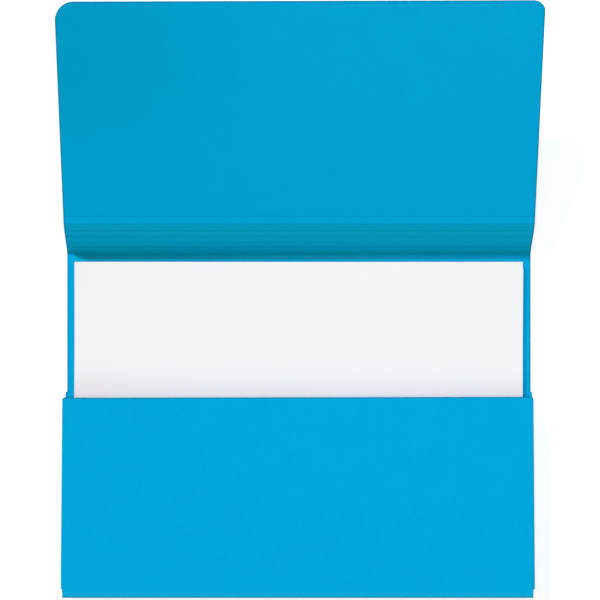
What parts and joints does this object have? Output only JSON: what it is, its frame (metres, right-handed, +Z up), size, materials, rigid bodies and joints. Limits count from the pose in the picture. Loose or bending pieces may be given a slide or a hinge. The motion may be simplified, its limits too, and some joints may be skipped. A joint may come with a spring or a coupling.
{
  "type": "pocket folder",
  "caption": "Creased card document wallet for A4 sheets: a folding flap on a multi-crease spine, a raised front pocket on creased walls, and a stack of loose sheets.",
  "frame": {"origin": "on the table, under the middle of the open folder", "axes": "+X across the folder to the right, +Y from the pocket's bottom fold to the flap, +Z up from the rear face"},
  "size_m": [0.3094, 0.3824, 0.0571],
  "materials": {
    "blue_card": "smooth matt coloured card",
    "white_paper": "uncoated office paper",
    "glue": "dried adhesive film"
  },
  "bodies": {
    "back": {"back_panel": "blue_card", "left_glue_tab": "blue_card", "right_glue_tab": "blue_card", "left_glue": "glue", "right_glue": "glue"},
    "spine_1": {"spine_strip_1": "blue_card"},
    "spine_2": {"spine_strip_2": "blue_card"},
    "spine_3": {"spine_strip_3": "blue_card"},
    "spine_4": {"spine_strip_4": "blue_card"},
    "spine_5": {"spine_strip_5": "blue_card"},
    "spine_6": {"spine_strip_6": "blue_card"},
    "flap": {"flap": "blue_card"},
    "bottom_lower": {"bottom_wall_lower": "blue_card"},
    "bottom_upper": {"bottom_wall_upper": "blue_card"},
    "front": {"pocket_front": "blue_card"},
    "left_lower": {"left_wall_lower": "blue_card"},
    "left_upper": {"left_wall_upper": "blue_card"},
    "right_lower": {"right_wall_lower": "blue_card"},
    "right_upper": {"right_wall_upper": "blue_card"},
    "sheets": {"sheet_01": "white_paper", "sheet_02": "white_paper", "sheet_03": "white_paper", "sheet_04": "white_paper", "sheet_05": "white_paper", "sheet_06": "white_paper", "sheet_07": "white_paper", "sheet_08": "white_paper", "sheet_09": "white_paper", "sheet_10": "white_paper", "sheet_11": "white_paper", "sheet_12": "white_paper", "sheet_13": "white_paper", "sheet_14": "white_paper", "sheet_15": "white_paper", "sheet_16": "white_paper", "sheet_17": "white_paper", "sheet_18": "white_paper", "sheet_19": "white_paper", "sheet_20": "white_paper"}
  },
  "joints": [
    {"name": "base_crease", "type": "hinge", "parent": "back", "child": "spine_1", "pos_m": [0, 0.03512, 0.0002], "axis": [1, 0, 0], "range_deg": [-3.05, 23.55]},
    {"name": "spine_crease_2", "type": "hinge", "parent": "spine_1", "child": "spine_2", "pos_m": [0, 0.03911, 0.00321], "axis": [1, 0, 0], "range_deg": [-3.05, 23.55]},
    {"name": "spine_crease_3", "type": "hinge", "parent": "spine_2", "child": "spine_3", "pos_m": [0, 0.04252, 0.00687], "axis": [1, 0, 0], "range_deg": [-3.05, 23.55]},
    {"name": "spine_crease_4", "type": "hinge", "parent": "spine_3", "child": "spine_4", "pos_m": [0, 0.04599, 0.01046], "axis": [1, 0, 0], "range_deg": [-3.05, 23.55]},
    {"name": "spine_crease_5", "type": "hinge", "parent": "spine_4", "child": "spine_5", "pos_m": [0, 0.04959, 0.01394], "axis": [1, 0, 0], "range_deg": [-3.05, 23.55]},
    {"name": "spine_crease_6", "type": "hinge", "parent": "spine_5", "child": "spine_6", "pos_m": [0, 0.05353, 0.01701], "axis": [1, 0, 0], "range_deg": [-3.05, 23.55]},
    {"name": "flap_crease", "type": "hinge", "parent": "spine_6", "child": "flap", "pos_m": [0, 0.05836, 0.01831], "axis": [1, 0, 0], "range_deg": [-3.05, 23.55]},
    {"name": "pocket_press", "type": "hinge", "parent": "back", "child": "bottom_lower", "pos_m": [0, -0.19028, 0.0002], "axis": [1, 0, 0], "range_deg": [0, 72]},
    {"name": "bottom_wall_fold", "type": "hinge", "parent": "bottom_lower", "child": "bottom_upper", "pos_m": [0, -0.19083, 0.00875], "axis": [1, 0, 0], "range_deg": [-144.1, 0.1]},
    {"name": "front_fold", "type": "hinge", "parent": "bottom_upper", "child": "front", "pos_m": [0, -0.19028, 0.0173], "axis": [1, 0, 0], "range_deg": [-0.1, 72.1]},
    {"name": "left_wall_foot", "type": "hinge", "parent": "back", "child": "left_lower", "pos_m": [-0.1538, -0.12, 0.0007], "axis": [0, -1, 0], "range_deg": [-0.1, 73.5]},
    {"name": "left_wall_fold", "type": "hinge", "parent": "left_lower", "child": "left_upper", "pos_m": [-0.15433, -0.12, 0.009], "axis": [0, -1, 0], "range_deg": [-146.9, 0.1]},
    {"name": "right_wall_foot", "type": "hinge", "parent": "back", "child": "right_lower", "pos_m": [0.1538, -0.12, 0.0007], "axis": [0, 1, 0], "range_deg": [-0.1, 73.5]},
    {"name": "right_wall_fold", "type": "hinge", "parent": "right_lower", "child": "right_upper", "pos_m": [0.15433, -0.12, 0.009], "axis": [0, 1, 0], "range_deg": [-146.9, 0.1]},
    {"name": "sheets_slide", "type": "slide", "parent": "back", "child": "sheets", "axis": [0, 1, 0], "range_m": [-0.0045, 0.0053]}
  ],
  "couplings": [
    {"joint": "bottom_wall_fold", "follows": "pocket_press", "ratio": -2},
    {"joint": "front_fold", "follows": "pocket_press", "ratio": 1},
    {"joint": "left_wall_foot", "follows": "pocket_press", "ratio": 1.0191},
    {"joint": "left_wall_fold", "follows": "pocket_press", "ratio": -2.0381},
    {"joint": "right_wall_foot", "follows": "pocket_press", "ratio": 1.0191},
    {"joint": "right_wall_fold", "follows": "pocket_press", "ratio": -2.0381}
  ]
}
